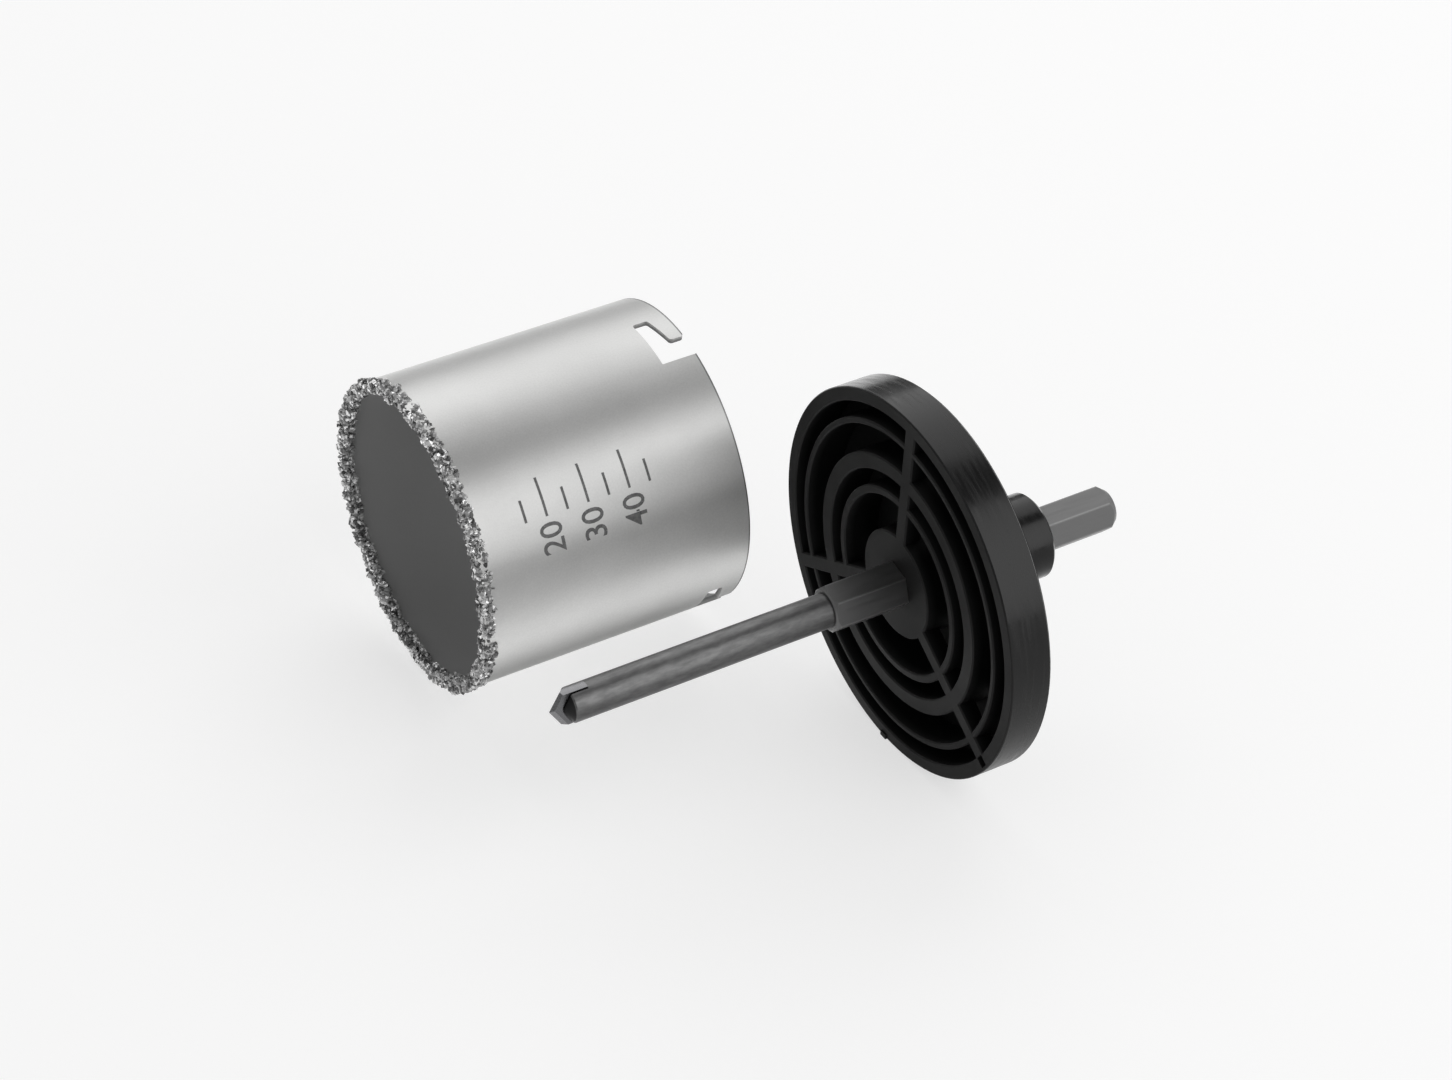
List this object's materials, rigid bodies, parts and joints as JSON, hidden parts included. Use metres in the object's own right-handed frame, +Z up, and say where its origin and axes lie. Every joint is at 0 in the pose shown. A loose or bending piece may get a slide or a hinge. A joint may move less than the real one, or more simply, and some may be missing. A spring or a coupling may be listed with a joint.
{
  "type": "hole saw",
  "caption": "Carbide-grit hole saw taken apart: a steel cup with bayonet slots, and a ringed plastic back plate on a hexagonal bar turned down to a masonry pilot drill.",
  "frame": {"origin": "on the floor, under the middle of the whole set's box", "axes": "+X along both axes towards the shank, so the cutting ends face -X; +Z up; the cup lies on the +Y side of the arbor"},
  "size_m": [0.1374, 0.1558, 0.0875],
  "materials": {
    "cup_steel": "blasted satin steel tube, dull inside",
    "grit": "crushed tungsten carbide grains brazed on, dark grey with bright facets",
    "plate_nylon": "black glass-filled nylon moulding, satin",
    "bar_steel": "bright-drawn hexagon steel, turned on the drill",
    "carbide": "ground sintered carbide"
  },
  "bodies": {
    "root": {"cup_shell": "cup_steel", "carbide_grit": "grit", "back_plate": "plate_nylon", "pilot_drill": "bar_steel", "carbide_tip": "carbide"}
  },
  "joints": []
}
